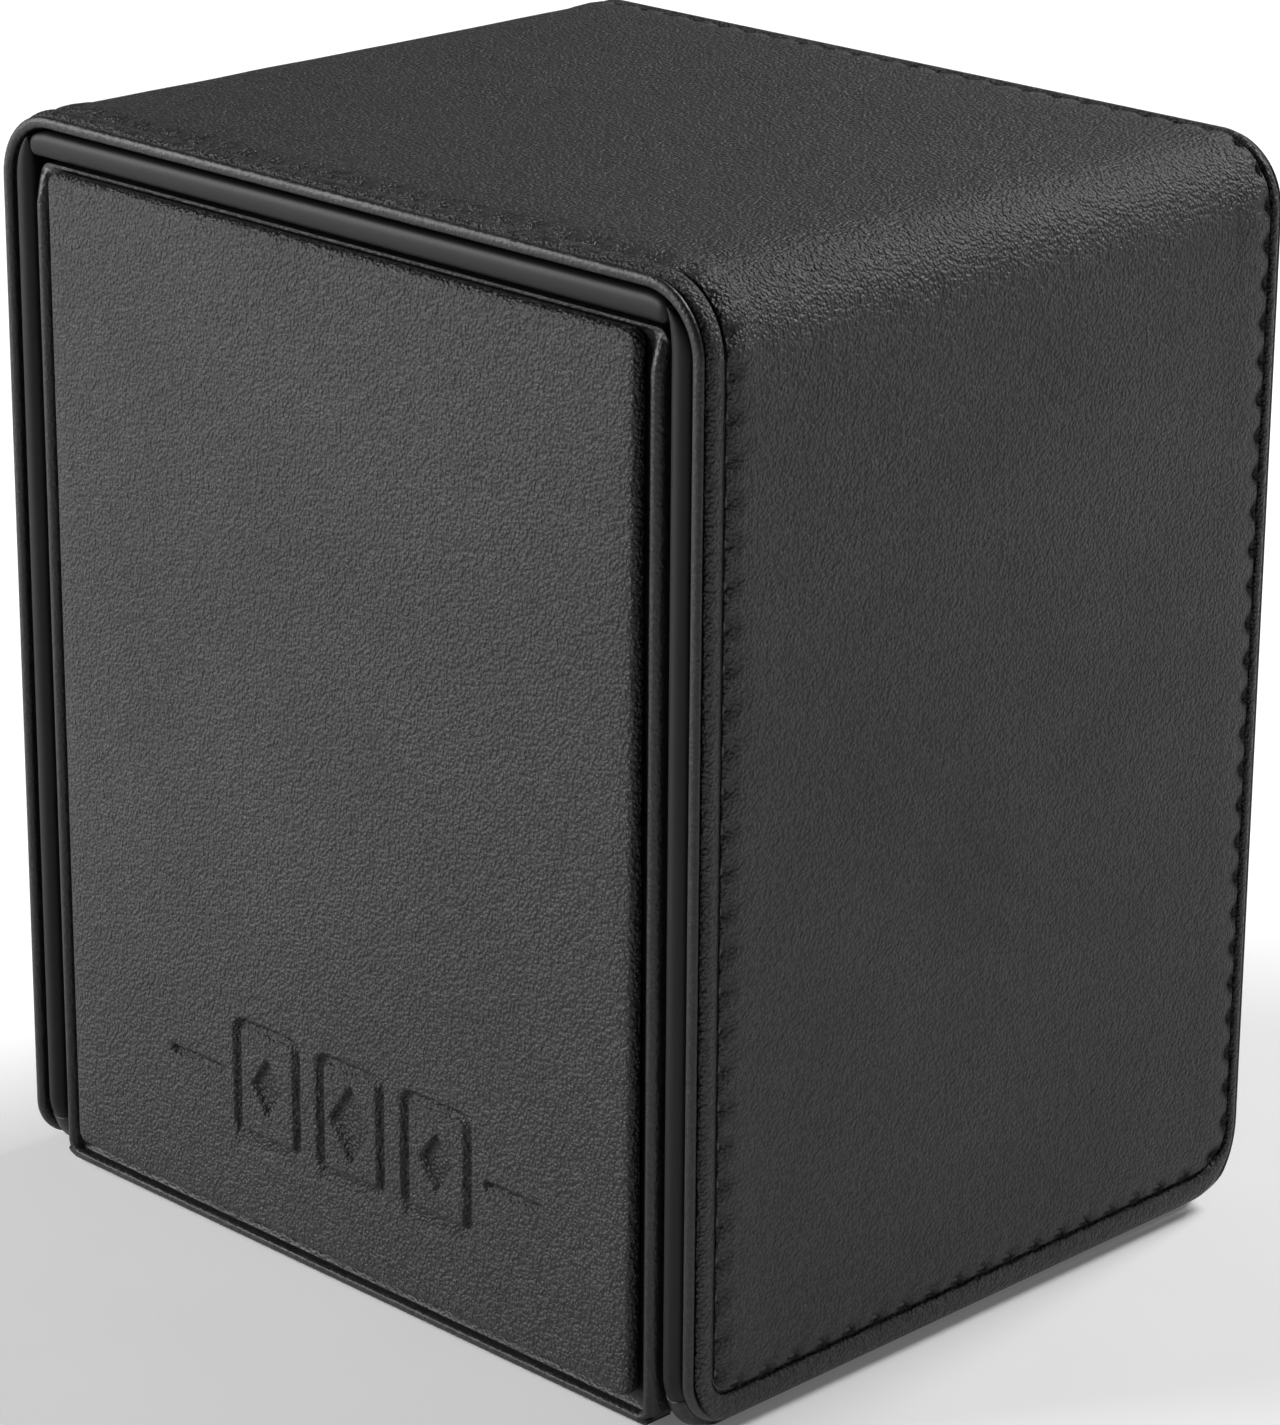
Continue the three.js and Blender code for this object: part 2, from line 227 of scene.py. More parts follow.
def shaped_sheet(pattern, section, place, relief=no_relief):
    """Build a closed sheet. The section runs from the underside round the edge to the face.

    relief(flat, inset) gives extra height to the face, and place(flat, height) bends the
    sheet into its place on the box.
    """
    outermost = min(range(len(section)), key=lambda k: section[k][0])
    rings = [pattern.ring(inset) for inset, _ in section]
    count = len(rings[0])
    points = []
    for k, (inset, height) in enumerate(section):
        extra = relief(rings[k], np.full(count, inset)) if k > outermost else np.zeros(count)
        points.append(place(rings[k], height + extra))
    faces = []
    for k in range(len(section) - 1):
        a = np.arange(count) + k * count
        b = np.roll(a, -1)
        faces += np.stack([a, b, b + count, a + count], axis=1).tolist()
    for k in (0, len(section) - 1):
        inset, height = section[k]
        flat = pattern.middle(inset)
        extra = relief(flat, np.full(len(flat), inset + 1.0)) if k else np.zeros(len(flat))
        first = sum(len(p) for p in points)
        points.append(place(flat, height + extra))
        faces += pattern.middle_faces(first, k * count, count)
    return np.concatenate(points), faces


# %% [markdown]
# ## Lofts
#
# A piece with the same kind of section along its whole length, such as a wrapped wall or the rim
# of the flap, is a row of closed loops. Neighbouring loops are joined by faces, and the first and
# last loop are closed, unless the row of loops runs round and meets itself.

# %% Loft builder


def loft(loops, joined=False):
    """Join a row of closed loops that have the same number of points."""
    loops = np.asarray(loops)
    rows, count = loops.shape[:2]
    faces = []
    for k in range(rows if joined else rows - 1):
        a = np.arange(count) + k * count
        b = np.arange(count) + (k + 1) % rows * count
        faces += np.stack([a, np.roll(a, -1), np.roll(b, -1), b], axis=1).tolist()
    if not joined:
        faces.append(list(range(count))[::-1])
        faces.append(list(range((rows - 1) * count, rows * count)))
    return loops.reshape(-1, 3), faces


def smooth_step(value, low, high):
    """Rise from 0 to 1 between low and high, with soft ends."""
    t = np.clip((value - low) / (high - low), 0, 1)
    return t * t * (3 - 2 * t)


def creases(a, b, start, stop, width, spacing):
    """A faint bundle of creases along a line, as where the leather was once folded."""
    line = np.array(stop) - np.array(start)
    length = np.linalg.norm(line)
    along = ((a - start[0]) * line[0] + (b - start[1]) * line[1]) / length
    across = ((b - start[1]) * line[0] - (a - start[0]) * line[1]) / length
    bend = across + 0.8 * np.sin(along / 6.0)
    fade = np.exp(-((bend / width) ** 2)) * smooth_step(along, -2, 6) * smooth_step(length - along, -2, 6)
    return np.sin(bend * 2 * math.pi / spacing) * fade


def gentle_waves(a, b, seed, scale):
    """A smooth random surface between about -1 and 1, with bumps of about that scale in mm."""
    random = np.random.default_rng(seed)
    total = np.zeros(np.shape(a))
    for _ in range(7):
        turn, phase = random.uniform(0, 2 * math.pi, 2)
        length = scale * random.uniform(0.7, 1.6)
        total += np.sin((a * math.cos(turn) + b * math.sin(turn)) * 2 * math.pi / length + phase)
    return total / 4

# %% [markdown]
# ## Camera, floor and light
#
# The box is a black object on a frosted white table in a light tent. Black leatherette shows its
# form by what it reflects, so the light is large and soft: a surround that is brightest at the
# horizon, one broad panel at the left of the front, and a weaker panel high behind the box that
# draws the rounded upper edge.

# %% Camera


def camera_at(azimuth, elevation, roll, distance, target, lens):
    """Place the camera on a sphere round the target, with a small roll about its own axis."""
    a, e = math.radians(azimuth), math.radians(elevation)
    back = Vector((math.sin(a) * math.cos(e), -math.cos(a) * math.cos(e), math.sin(e)))
    data = bpy.data.cameras.new("camera")
    data.lens = lens
    data.clip_start = 0.02
    data.clip_end = 20
    camera = bpy.data.objects.new("camera", data)
    bpy.context.scene.collection.objects.link(camera)
    facing = back.to_track_quat("Z", "Y").to_matrix() @ Matrix.Rotation(math.radians(roll), 3, "Z")
    camera.matrix_world = Matrix.LocRotScale(Vector(target) * MM + back * distance * MM, facing, None)
    bpy.context.scene.camera = camera
    return camera


camera = camera_at(
    azimuth=44.9, elevation=19.62, roll=0.39, distance=478.7, target=(1.04, 0, 47.34), lens=128.4
)
print("camera, mm:", [round(x / MM, 1) for x in camera.location])

# %% Colours and nodes


def colour(code):
    """Turn an sRGB hex code into the linear colour that Blender works with."""
    parts = [int(code[k : k + 2], 16) / 255 for k in (1, 3, 5)]
    linear = [p / 12.92 if p <= 0.04045 else ((p + 0.055) / 1.055) ** 2.4 for p in parts]
    return (*linear, 1.0)


def add_node(tree, kind, settings=None, **inputs):
    """Add a node, set its properties, and set or link its inputs by name (_ stands for a space)."""
    node = tree.nodes.new(kind)
    for key, value in (settings or {}).items():
        setattr(node, key, value)
    for key, value in inputs.items():
        socket = node.inputs[int(key[1:])] if key[1:].isdigit() else node.inputs[key.replace("_", " ")]
        if isinstance(value, bpy.types.NodeSocket):
            tree.links.new(value, socket)
        else:
            socket.default_value = value
    return node


def new_material(name):
    """A material with an empty node tree and its output node."""
    material = bpy.data.materials.new(name)
    material.use_nodes = True
    material.node_tree.nodes.clear()
    return material, material.node_tree


def finish_material(tree, shader):
    output = tree.nodes.new("ShaderNodeOutputMaterial")
    tree.links.new(shader.outputs[0], output.inputs["Surface"])


# %% Floor


FLOOR_GLOW = 0.10


def build_floor():
    """A wide sheet of frosted white acrylic under the box, lit a little from below."""
    material, tree = new_material("frosted_white_acrylic")
    speckle = add_node(tree, "ShaderNodeTexNoise", Scale=400.0, Detail=2.0)
    tint = add_node(tree, "ShaderNodeValToRGB", Fac=speckle.outputs["Fac"])
    tint.color_ramp.elements[0].color = colour("#f6f6f6")
    tint.color_ramp.elements[1].color = colour("#fbfbfb")
    shader = add_node(
        tree, "ShaderNodeBsdfPrincipled",
        Base_Color=tint.outputs["Color"], Roughness=0.9,
        Emission_Color=(1, 1, 1, 1), Emission_Strength=FLOOR_GLOW,
    )
    finish_material(tree, shader)
    mesh = bpy.data.meshes.new("floor")
    reach = 3.0
    corners = [(-reach, -reach, 0), (reach, -reach, 0), (reach, reach, 0), (-reach, reach, 0)]
    mesh.from_pydata(corners, [], [(0, 1, 2, 3)])
    mesh.materials.append(material)
    floor = bpy.data.objects.new("floor", mesh)
    bpy.context.scene.collection.objects.link(floor)
    floor.location.z = -0.0002


build_floor()

# %% Light


def soft_panel(name, place, aim, size, power):
    """A rectangular light panel that faces a point."""
    data = bpy.data.lights.new(name, "AREA")
    data.shape = "RECTANGLE"
    data.size, data.size_y = size
    data.energy = power
    panel = bpy.data.objects.new(name, data)
    bpy.context.scene.collection.objects.link(panel)
    panel.location = place
    panel.rotation_euler = (Vector(aim) - Vector(place)).to_track_quat("-Z", "Y").to_euler()


HORIZON_LIGHT = 0.21
ZENITH_LIGHT = 0.05


def light_tent():
    """White to the eye. As a light it is brightest at the horizon and dim overhead."""
    world = bpy.data.worlds.new("light_tent")
    world.use_nodes = True
    tree = world.node_tree
    heading = add_node(tree, "ShaderNodeTexCoord").outputs["Generated"]
    height = add_node(tree, "ShaderNodeSeparateXYZ", Vector=heading).outputs["Z"]
    glow = add_node(tree, "ShaderNodeValToRGB", Fac=height)
    glow.color_ramp.elements[0].color = (HORIZON_LIGHT, HORIZON_LIGHT, HORIZON_LIGHT, 1)
    glow.color_ramp.elements[1].position = 0.8
    glow.color_ramp.elements[1].color = (ZENITH_LIGHT, ZENITH_LIGHT, ZENITH_LIGHT, 1)
    glow.color_ramp.elements.new(0.36).color = (0.15, 0.15, 0.15, 1)
    seen = add_node(tree, "ShaderNodeLightPath").outputs["Is Camera Ray"]
    mixed = add_node(
        tree, "ShaderNodeMix", {"data_type": "RGBA"}, _0=seen, _6=glow.outputs["Color"], _7=(1, 1, 1, 1)
    )
    tree.links.new(mixed.outputs[2], tree.nodes["Background"].inputs["Color"])
    bpy.context.scene.world = world
    bpy.context.scene.view_settings.view_transform = "Standard"


light_tent()
middle = (0, 0, cad_high[2] / 2)
soft_panel("front_left_panel", (-0.95, -0.95, 0.55), middle, (0.9, 0.9), 26.5)
soft_panel("back_right_panel", (0.16, 0.92, 0.88), middle, (0.5, 0.4), 14.5)

# %% [markdown]
# ## Leatherette
#
# The shell and the flap are covered with PU leatherette: a soft foam-backed film that was pressed
# against grained paper. It gives the eye a dull black with small pebbles about a third of a
# millimetre across, finer ridges over them, and a soft broad sheen. Where it is stretched over an
# edge the grain opens, and looks smoother and a little brighter.

# %% Leatherette material


GRAIN_PER_METRE = 4000.0
PEBBLES_PER_METRE = 0.72 * GRAIN_PER_METRE
CLUSTERS_PER_METRE = 0.3 * GRAIN_PER_METRE
CLUSTER_SHARE = 0.4
RIDGES_OVER_PEBBLES = 2.6
GRAIN_DEPTH = 0.00013


def leatherette(name, tint, grain=1.0, rough=0.5):
    """Grained PU film. The grain is in real millimetres: object coordinates are metres."""
    material, tree = new_material(name)
    place = add_node(tree, "ShaderNodeTexCoord").outputs["Object"]
    lean = add_node(
        tree, "ShaderNodeMapping", Vector=place, Rotation=(0.35, 0.25, 0.0), Scale=(1.0, 1.0, 0.95)
    )
    ridges = add_node(
        tree, "ShaderNodeTexNoise",
        Vector=lean.outputs["Vector"], Scale=GRAIN_PER_METRE, Detail=2.0, Roughness=0.7,
    )
    clusters = add_node(
        tree, "ShaderNodeTexNoise", Vector=lean.outputs["Vector"], Scale=CLUSTERS_PER_METRE, Detail=1.0
    )
    pebbles = add_node(
        tree, "ShaderNodeTexVoronoi", {"feature": "SMOOTH_F1"},
        Vector=lean.outputs["Vector"], Scale=PEBBLES_PER_METRE, Smoothness=0.35,
    )
    domes = add_node(
        tree, "ShaderNodeMapRange",
        Value=pebbles.outputs["Distance"], From_Min=0.15, From_Max=0.75, To_Min=1.0, To_Max=0.0,
    )
    uneven = add_node(
        tree, "ShaderNodeMix", _0=CLUSTER_SHARE, _2=ridges.outputs["Fac"], _3=clusters.outputs["Fac"]
    ).outputs[0]
    height = add_node(
        tree, "ShaderNodeMath", {"operation": "MULTIPLY_ADD"},
        _0=uneven, _1=RIDGES_OVER_PEBBLES, _2=domes.outputs["Result"],
    )
    crests = add_node(
        tree, "ShaderNodeMapRange",
        Value=height.outputs[0], From_Min=1.45, From_Max=2.15, To_Min=0.0, To_Max=1.0,
    )
    patches = add_node(tree, "ShaderNodeTexNoise", Vector=place, Scale=60.0, Detail=3.0)
    bump = add_node(
        tree, "ShaderNodeBump", Height=height.outputs[0], Strength=1.0, Distance=GRAIN_DEPTH * grain
    )
    shade = add_node(tree, "ShaderNodeValToRGB", Fac=crests.outputs["Result"])
    shade.color_ramp.elements[0].color = colour(tint[0])
    shade.color_ramp.elements[1].color = colour(tint[1])
    roughness = add_node(
        tree, "ShaderNodeMapRange",
        Value=patches.outputs["Fac"], From_Min=0.3, From_Max=0.7, To_Min=rough - 0.05, To_Max=rough + 0.06,
    )
    shader = add_node(
        tree, "ShaderNodeBsdfPrincipled",
        Base_Color=shade.outputs["Color"], Roughness=roughness.outputs["Result"],
        IOR=1.45, Normal=bump.outputs["Normal"],
    )
    finish_material(tree, shader)
    return material


grained = leatherette("pu_leatherette", ("#030304", "#29292a"), rough=0.44)
stretched = leatherette("pu_leatherette_stretched", ("#0c0c0d", "#1c1c1d"), grain=0.22, rough=0.45)

# %% [markdown]
# ## The shell
#
# The shell is one strip of leatherette that climbs the right side, crosses the top and comes down
# the left side. A second ply lies inside it, and the two are sewn together 3 mm from the edge all
# round. The sewing pulls a groove into the soft foam, the margin outside it swells into a flat
# bead, and the face inside it rises to its full padded height. The strip is laid out flat here
# and then bent over the arch, so the bead and the groove run round every edge without a break.

# %% The arch that the shell follows
SHELL_RADIUS = 7.0
BACK_MARGIN_PULL = 1.1
arch_centre_x = shell_high[0] - SHELL_RADIUS
arch_centre_z = shell_high[2] - SHELL_RADIUS
arch_climb = arch_centre_z - shell_low[2]
arch_turn = SHELL_RADIUS * math.pi / 2
arch_across = 2 * arch_centre_x
LEFT_DROP = 1.0
arch_fall = arch_climb + LEFT_DROP
arch_length = arch_climb + arch_fall + 2 * arch_turn + arch_across
shell_depth = shell_high[1] - shell_low[1]
print("length of the strip over the arch, mm:", round(arch_length, 1))


def on_arch(flat, height):
    """Bend flat points over the arch. The strip's margin is narrower at the back of the box."""
    s = flat[:, 0]
    climbed = np.clip(s, 0, arch_climb)
    crossed = np.clip(s - arch_climb - arch_turn, 0, arch_across)
    fallen = np.maximum(s - arch_climb - 2 * arch_turn - arch_across, 0)
    turned = np.clip(s - arch_climb, 0, arch_turn)
    turned = turned + np.clip(s - arch_climb - arch_turn - arch_across, 0, arch_turn)
    angle = turned / SHELL_RADIUS
    beyond_start = np.minimum(s, 0)
    radius = SHELL_RADIUS + height
    x = arch_centre_x - crossed + radius * np.cos(angle)
    z = arch_centre_z - (arch_climb - climbed) + beyond_start - fallen + radius * np.sin(angle)
    from_back = shell_depth - flat[:, 1]
    pull = BACK_MARGIN_PULL * np.clip(from_back / 3, 0, 1) * (1 - smooth_step(from_back, 3.2, 9))
    y = shell_high[1] - (from_back - pull)
    return np.stack([x, y, z], axis=1)


# %% Outer ply of the shell
SEAM_INSET = 2.95
OUTER_PLY_SECTION = [
    (4.2, -0.62), (3.8, -0.68), (3.45, -0.92), (2.6, -1.02), (1.7, -0.95), (1.15, -0.93),
    (0.98, -0.89), (0.90, -0.81), (0.90, -0.70), (0.96, -0.57), (1.06, -0.44), (1.20, -0.33),
    (1.38, -0.25), (1.6, -0.20), (1.85, -0.18), (2.12, -0.19), (2.36, -0.23), (2.50, -0.31),
    (2.58, -0.46), (2.61, -0.66), (2.66, -0.82), (2.78, -0.90), (2.98, -0.90), (3.11, -0.84),
    (3.15, -0.72), (3.10, -0.60), (3.04, -0.50), (3.05, -0.40), (3.16, -0.30), (3.42, -0.19),
    (3.95, -0.09), (4.8, -0.02), (6.2, 0.0),
]
PITCH = 3.6
LOW_CORNERS = (5.0, 4.4, 7.0, 7.0)
TOP_SAG = 0.4
TOP_SLOPE = 30
TURN_SAG = 0.42
HOLE_DEPTH = 0.6
FOOT_REACH = 0.8
FOOT_MARGIN = (1.0, 3.0)


def needle_holes(line, pitch):
    """Flat points of the needle holes, at a regular pitch along a closed line."""
    steps = np.linalg.norm(np.roll(line, -1, axis=0) - line, axis=1)
    at = np.concatenate([[0], np.cumsum(steps)])
    closed = np.concatenate([line, line[:1]])
    spots = np.arange(round(at[-1] / pitch)) * at[-1] / round(at[-1] / pitch)
    return np.stack([np.interp(spots, at, closed[:, 0]), np.interp(spots, at, closed[:, 1])], axis=1)


shell_pattern = SheetPattern(
    (arch_length, shell_depth), LOW_CORNERS, even(int(arch_length / 1.1)), even(int(shell_depth / 1.1))
)
shell_holes = needle_holes(shell_pattern.ring(SEAM_INSET + 0.3), PITCH)
print("needle holes round the shell:", len(shell_holes))


def pucker(flat, holes, reach=0.85):
    """1 at a needle hole, fading to 0 around it."""
    nearest = np.full(len(flat), 99.0)
    for hole in holes:
        nearest = np.minimum(nearest, np.hypot(flat[:, 0] - hole[0], flat[:, 1] - hole[1]))
    return np.exp(-((nearest / reach) ** 2))


def shell_relief(flat, inset):
    """A sunk middle of the top, rounded edges that sit lower, slow waves, and the needle holes' pull."""
    s, depth = flat[:, 0], flat[:, 1]
    inside = smooth_step(inset, 3.2, 9.0)
    top_start = arch_climb + arch_turn
    across_top = smooth_step(s, top_start, top_start + TOP_SLOPE)
    across_top = across_top * smooth_step(arch_length - s, top_start, top_start + TOP_SLOPE)
    from_front = smooth_step(depth, 4, TOP_SLOPE)
    from_back = smooth_step(shell_depth - depth, 4, TOP_SLOPE)
    sunk = -TOP_SAG * across_top * from_front * from_back
    right_turn = np.abs(s - arch_climb - arch_turn / 2)
    left_turn = np.abs(arch_length - s - arch_fall - arch_turn / 2)
    sunk = sunk - TURN_SAG * (1 - smooth_step(np.minimum(right_turn, left_turn), 2, arch_turn))
    waves = 0.09 * gentle_waves(s, depth, 11, 38) + 0.035 * gentle_waves(s, depth, 12, 13)
    waves = waves + 0.07 * creases(s, depth, (57, 20), (31, 49), 5.0, 4.6)
    near_seam = (inset > 2.0) & (inset < 5.0)
    holes = np.zeros(len(flat))
    holes[near_seam] = pucker(flat[near_seam], shell_holes)
    return inside * (sunk + waves) - HOLE_DEPTH * holes * smooth_step(inset, 3.0, 3.2)


def longer_at_the_foot(flat, height):
    """The outer ply reaches further down at its two feet, and hides the edge of the inner ply there."""
    s = flat[:, 0]
    longer = flat.copy()
    longer[:, 0] -= FOOT_REACH * (1 - smooth_step(s, *FOOT_MARGIN))
    longer[:, 0] += FOOT_REACH * (1 - smooth_step(arch_length - s, *FOOT_MARGIN))
    return on_arch(longer, height)


points, faces = shaped_sheet(shell_pattern, OUTER_PLY_SECTION, longer_at_the_foot, shell_relief)
build_piece("shell_cover", points, faces, grained, "box", ["shell_outer_cover"])

# %% Inner ply of the shell
INNER_PLY_SECTION = [
    (4.2, -1.20), (3.0, -1.18), (1.8, -1.14), (1.2, -1.08), (0.95, -0.97), (0.84, -0.84),
    (0.72, -0.71), (0.57, -0.60), (0.42, -0.54), (0.29, -0.55), (0.18, -0.61), (0.09, -0.71),
    (0.03, -0.84), (0.0, -1.0), (0.0, -1.16), (0.04, -1.32), (0.12, -1.47), (0.24, -1.58),
    (0.42, -1.64), (0.8, -1.68), (2.0, -1.70), (4.2, -1.70),
]
inner_pattern = SheetPattern(
    (arch_length, shell_depth), LOW_CORNERS, even(int(arch_length / 2.2)), even(int(shell_depth / 2.2))
)
points, faces = shaped_sheet(inner_pattern, INNER_PLY_SECTION, on_arch)
build_piece("shell_inner_ply", points, faces, stretched, "box", ["shell_inner_cover"])

# %% [markdown]
# ## Seam thread
#
# The two plies are sewn with a bonded black polyester thread, about half a millimetre thick, at
# seven stitches to the inch. Each stitch lies in the groove and dives into a needle hole at both
# ends. The stitches are short tubes: a curve along the whole seam would hide the holes.

# %% Stitches along a seam


def stitch(start, stop, height, thickness, dip, place, round_steps=8, long_steps=9):
    """One stitch as a tube in the flat pattern, whose ends dive through the leather."""
    loops = []
    along = (stop - start) / np.linalg.norm(stop - start)
    side = np.array([-along[1], along[0]])
    for k in range(long_steps):
        t = k / (long_steps - 1)
        ends = abs(2 * t - 1)
        centre = start + (stop - start) * t
        sink = dip * ends**6
        radius = thickness / 2 * (1 - 0.35 * ends**8)
        turn = np.arange(round_steps) / round_steps * 2 * math.pi
        flat = centre + side * (radius * np.cos(turn))[:, None]
        loops.append(place(flat, height - sink + radius * np.sin(turn)))
    return loft(loops)


def seam(line, pitch, length, height, thickness, dip, place):
    """Stitches at a regular pitch along a closed line of flat points."""
    steps = np.linalg.norm(np.roll(line, -1, axis=0) - line, axis=1)
    at = np.concatenate([[0], np.cumsum(steps)])
    closed = np.concatenate([line, line[:1]])
    count = int(round(at[-1] / pitch))
    pitch = at[-1] / count
    points, faces, first = [], [], 0
    for k in range(count):
        ends = np.array([k * pitch + (pitch - length) / 2, k * pitch + (pitch + length) / 2])
        flat = np.stack([np.interp(ends, at, closed[:, 0]), np.interp(ends, at, closed[:, 1])], axis=1)
        p, f = stitch(flat[0], flat[1], height, thickness, dip, place)
        points.append(p)
        faces += [[first + i for i in face] for face in f]
        first += len(p)
    print("stitches:", count, "pitch, mm:", round(pitch, 2))
    return np.concatenate(points), faces


def thread_material():
    """Bonded polyester: a smooth dark thread whose twist shows as fine slanting ridges."""
    material, tree = new_material("bonded_polyester_thread")
    place = add_node(tree, "ShaderNodeTexCoord").outputs["Object"]
    twist = add_node(
        tree, "ShaderNodeTexWave", {"bands_direction": "DIAGONAL"},
        Vector=place, Scale=1400.0, Distortion=1.0, Detail=1.0,
    )
    bump = add_node(tree, "ShaderNodeBump", Height=twist.outputs["Fac"], Strength=0.6, Distance=0.00004)
    shade = add_node(tree, "ShaderNodeValToRGB", Fac=twist.outputs["Fac"])
    shade.color_ramp.elements[0].color = colour("#040405")
    shade.color_ramp.elements[1].color = colour("#090909")
    shader = add_node(
        tree, "ShaderNodeBsdfPrincipled",
        Base_Color=shade.outputs["Color"], Roughness=0.75, IOR=1.3, Normal=bump.outputs["Normal"],
    )
    finish_material(tree, shader)
    return material


thread = thread_material()
points, faces = seam(
    shell_pattern.ring(SEAM_INSET), PITCH, length=2.9, height=-0.84, thickness=0.24, dip=0.4, place=on_arch
)
build_piece("shell_seam_thread", points, faces, thread, "box")

# %% [markdown]
# ## Smooth wrap of the tray
#
# The walls of the tray are boards wrapped in a smooth PU film with almost no grain. The film turns
# round the front edge of each board as a full half round, which carries one long soft highlight.

# %% Smooth wrap material


def smooth_film():
    """Smooth PU film: satin, with only a faint orange-peel from the board below."""
    material, tree = new_material("smooth_pu_film")
    place = add_node(tree, "ShaderNodeTexCoord").outputs["Object"]
    peel = add_node(tree, "ShaderNodeTexNoise", Vector=place, Scale=420.0, Detail=3.0, Roughness=0.55)
    grain = add_node(tree, "ShaderNodeTexVoronoi", Vector=place, Scale=1800.0)
    height = add_node(
        tree, "ShaderNodeMath", {"operation": "MULTIPLY_ADD"},
        _0=grain.outputs["Distance"], _1=0.25, _2=peel.outputs["Fac"],
    )
    bump = add_node(tree, "ShaderNodeBump", Height=height.outputs[0], Strength=0.5, Distance=0.00002)
    shade = add_node(tree, "ShaderNodeValToRGB", Fac=peel.outputs["Fac"])
    shade.color_ramp.elements[0].color = colour("#070708")
    shade.color_ramp.elements[1].color = colour("#0e0e0f")
    shader = add_node(
        tree, "ShaderNodeBsdfPrincipled",
        Base_Color=shade.outputs["Color"], Roughness=0.5, IOR=1.32, Normal=bump.outputs["Normal"],
    )
    finish_material(tree, shader)
    return material


smooth_wrap = smooth_film()

# %% Side walls of the tray
TRAY_RADIUS = wall_high[0] - arch_centre_x
FRONT_LOW_CORNERS = {1: 5.0, -1: 4.6}
BACK_LOW_CORNER = 6.0


def wall_outer(z):
    """Outer face of a side wall at a height. Near the top it follows the round corner of the tray."""
    rise = np.clip(z - arch_centre_z, 0, TRAY_RADIUS)
    return arch_centre_x + math.sqrt(TRAY_RADIUS**2 - rise**2)


def corner_setback(z, bottom, radius):
    """How far a rounded lower corner stands back at a height."""
    rise = min(max(bottom + radius - z, 0.0), radius)
    return radius - math.sqrt(max(radius**2 - rise**2, 0.0))


def wall_loop(z, side):
    """Closed loop round a wall at one height: bull nose at the front, square at the back."""
    inner, outer = wall_low[0], wall_outer(z)
    nose = (outer - inner) / 2
    front = wall_low[1] + corner_setback(z, wall_low[2], FRONT_LOW_CORNERS[side])
    back = wall_high[1] - corner_setback(z, wall_low[2], BACK_LOW_CORNER)
    turn = np.linspace(0, math.pi, 17)
    x = (inner + outer) / 2 + nose * np.cos(turn)
    y = front + nose - nose * np.sin(turn)
    loop = [(side * a, b, z) for a, b in zip(x, y)]
    return loop + [(side * inner, back, z), (side * outer, back, z)]


CREST_REACH = wall_low[0] + 0.16 - arch_centre_x


def wall_heights(side):
    low = wall_low[2] + FRONT_LOW_CORNERS[side] * (1 - np.cos(np.linspace(0.03, math.pi / 2, 12)))
    high = np.linspace(arch_centre_z, arch_centre_z + math.sqrt(TRAY_RADIUS**2 - CREST_REACH**2), 16)
    return np.concatenate([low, np.linspace(low[-1] + 3, arch_centre_z - 2, 30), high])


for side, name in ((1, "right"), (-1, "left")):
    points, faces = loft([wall_loop(z, side) for z in wall_heights(side)])
    build_piece(
        f"tray_{name}_wall_film", points, faces, smooth_wrap, "box", [f"tray_{name}_wrap"]
    )

# %% Top wall of the tray


LID_END = wall_low[0] - 0.1
LID_ROUND = 0.9
FLAT_NOSE = 0.55


def lid_loop(x):
    """Closed loop round the top wall at one place across the box. Each end is a blunt round tongue."""
    reach = max(abs(x) - arch_centre_x, 0.0)
    ending = min(max((abs(x) - LID_END + LID_ROUND) / LID_ROUND, 0.0), 1.0)
    rounding = 1 - math.sqrt(1 - ending**2)
    top = arch_centre_z + math.sqrt(TRAY_RADIUS**2 - reach**2) - 0.25 * rounding
    bottom = lid_low[2] + 0.75 * rounding
    nose = (top - bottom) / 2
    turn = np.linspace(0, math.pi, 17)
    y = lid_low[1] + nose - nose * np.sin(turn) ** FLAT_NOSE + 0.45 * rounding
    z = (top + bottom) / 2 + nose * np.sign(np.cos(turn)) * np.abs(np.cos(turn)) ** 0.75
    return [(x, b, c) for b, c in zip(y, z)] + [(x, lid_high[1], bottom), (x, lid_high[1], top)]


ends = arch_centre_x + (LID_END - arch_centre_x) * np.sin(np.linspace(0, math.pi / 2, 24))
stations = np.concatenate([-ends[::-1], np.linspace(-arch_centre_x + 2, arch_centre_x - 2, 30), ends])
points, faces = loft([lid_loop(x) for x in stations])
build_piece("tray_top_wall_film", points, faces, smooth_wrap, "box", ["tray_top_wrap"])

# %% [markdown]
# ## Base and back cover
#
# One piece of the grained leatherette wraps the outside of the tray: it lies under the base, turns
# up round the lower back edge and covers the back up to the top wall. At the front it curls round
# the rounded lower corners of the side walls, and its soft roll carries the bull nose of the walls
# down to the table.

# %% Base and back cover
base_low, base_high = span("base_and_back_cover")
COVER = 0.9
COVER_BEND = 7.0
TOP_CORNER = 7.0
cover_floor = base_high[1] - COVER_BEND - base_low[1]
cover_bend = COVER_BEND * math.pi / 2
cover_climb = base_high[2] - COVER_BEND - base_low[2]
cover_length = cover_floor + cover_bend + cover_climb


def round_the_back(flat, height):
    """Bend a flat strip under the base, round the lower back edge and up the back."""
    s = flat[:, 1]
    along = np.clip(s, None, cover_floor)
    angle = np.clip(s - cover_floor, 0, cover_bend) / COVER_BEND
    climbed = np.clip(s - cover_floor - cover_bend, 0, None)
    radius = COVER_BEND + height
    y = base_low[1] + along + radius * np.sin(angle)
    z = base_low[2] + COVER_BEND - radius * np.cos(angle) + climbed
    return np.stack([flat[:, 0] + base_low[0], y, z], axis=1)


